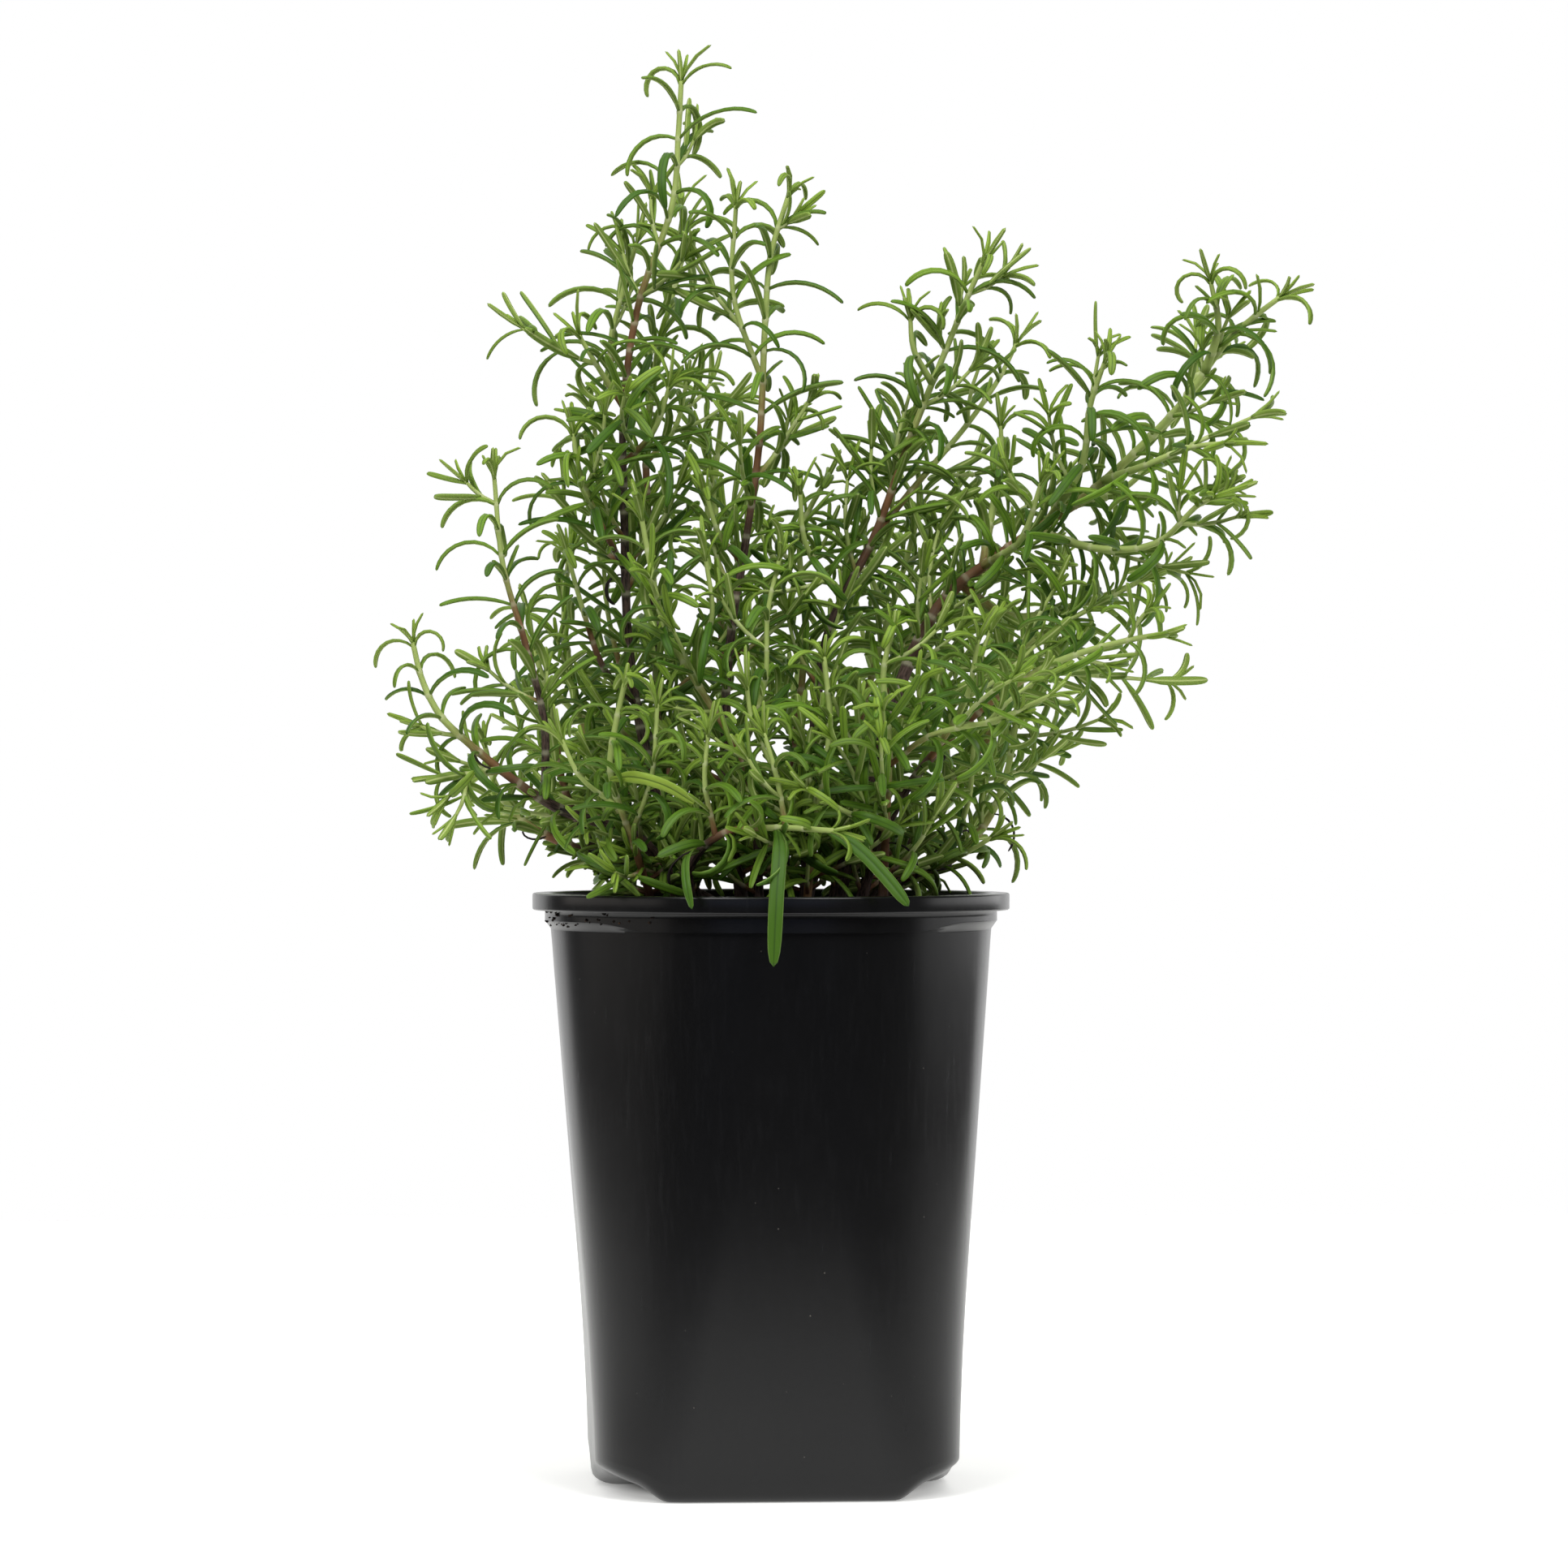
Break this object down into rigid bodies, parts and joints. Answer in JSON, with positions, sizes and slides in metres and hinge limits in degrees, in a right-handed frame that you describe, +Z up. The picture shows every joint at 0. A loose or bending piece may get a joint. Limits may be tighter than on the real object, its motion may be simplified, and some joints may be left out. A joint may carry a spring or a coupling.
{
  "type": "potted rosemary plant",
  "caption": "Bushy rosemary plant with upright and arching needle-leaved stems, growing in a tall black plastic pot that is round at the rim and a rounded square at the foot.",
  "frame": {"origin": "centre of the pot's underside, on the surface that the pot stands on", "axes": "+Z up along the pot's axis; -Y towards the front of the plant, +X to its right; the flat sides of the pot's foot face along X and Y"},
  "size_m": [0.3189, 0.2224, 0.4898],
  "materials": {
    "pot": "satin moulded black polypropylene",
    "soil": "rough moist peat and bark crumbs",
    "bark": "rough, fissured lengthwise",
    "leaf": "leathery, slightly glossy green leaves with pale undersides"
  },
  "bodies": {
    "root": {"pot": "pot", "potting_mix": "soil", "woody_stem_a": "bark", "leafy_stem_a": "leaf", "woody_stem_b": "bark", "leafy_stem_b": "leaf", "woody_stem_c": "bark", "leafy_stem_c": "leaf", "woody_stem_d": "bark", "leafy_stem_d": "leaf", "woody_stem_e": "bark", "leafy_stem_e": "leaf", "woody_stem_h": "bark", "leafy_stem_h": "leaf", "woody_stem_j": "bark", "leafy_stem_j": "leaf", "woody_stem_u": "bark", "leafy_stem_u": "leaf", "woody_stem_l": "bark", "leafy_stem_l": "leaf", "woody_stem_k": "bark", "leafy_stem_k": "leaf", "woody_stem_n": "bark", "leafy_stem_n": "leaf", "woody_stem_q": "bark", "leafy_stem_q": "leaf", "woody_stem_p": "bark", "leafy_stem_p": "leaf", "woody_stem_t": "bark", "leafy_stem_t": "leaf", "woody_stem_v": "bark", "leafy_stem_v": "leaf", "woody_stem_s": "bark", "leafy_stem_s": "leaf", "woody_stem_back_a": "bark", "leafy_stem_back_a": "leaf", "woody_stem_back_b": "bark", "leafy_stem_back_b": "leaf", "woody_stem_back_c": "bark", "leafy_stem_back_c": "leaf", "woody_stem_back_d": "bark", "leafy_stem_back_d": "leaf", "woody_stem_back_e": "bark", "leafy_stem_back_e": "leaf", "woody_stem_back_f": "bark", "leafy_stem_back_f": "leaf"}
  },
  "joints": []
}
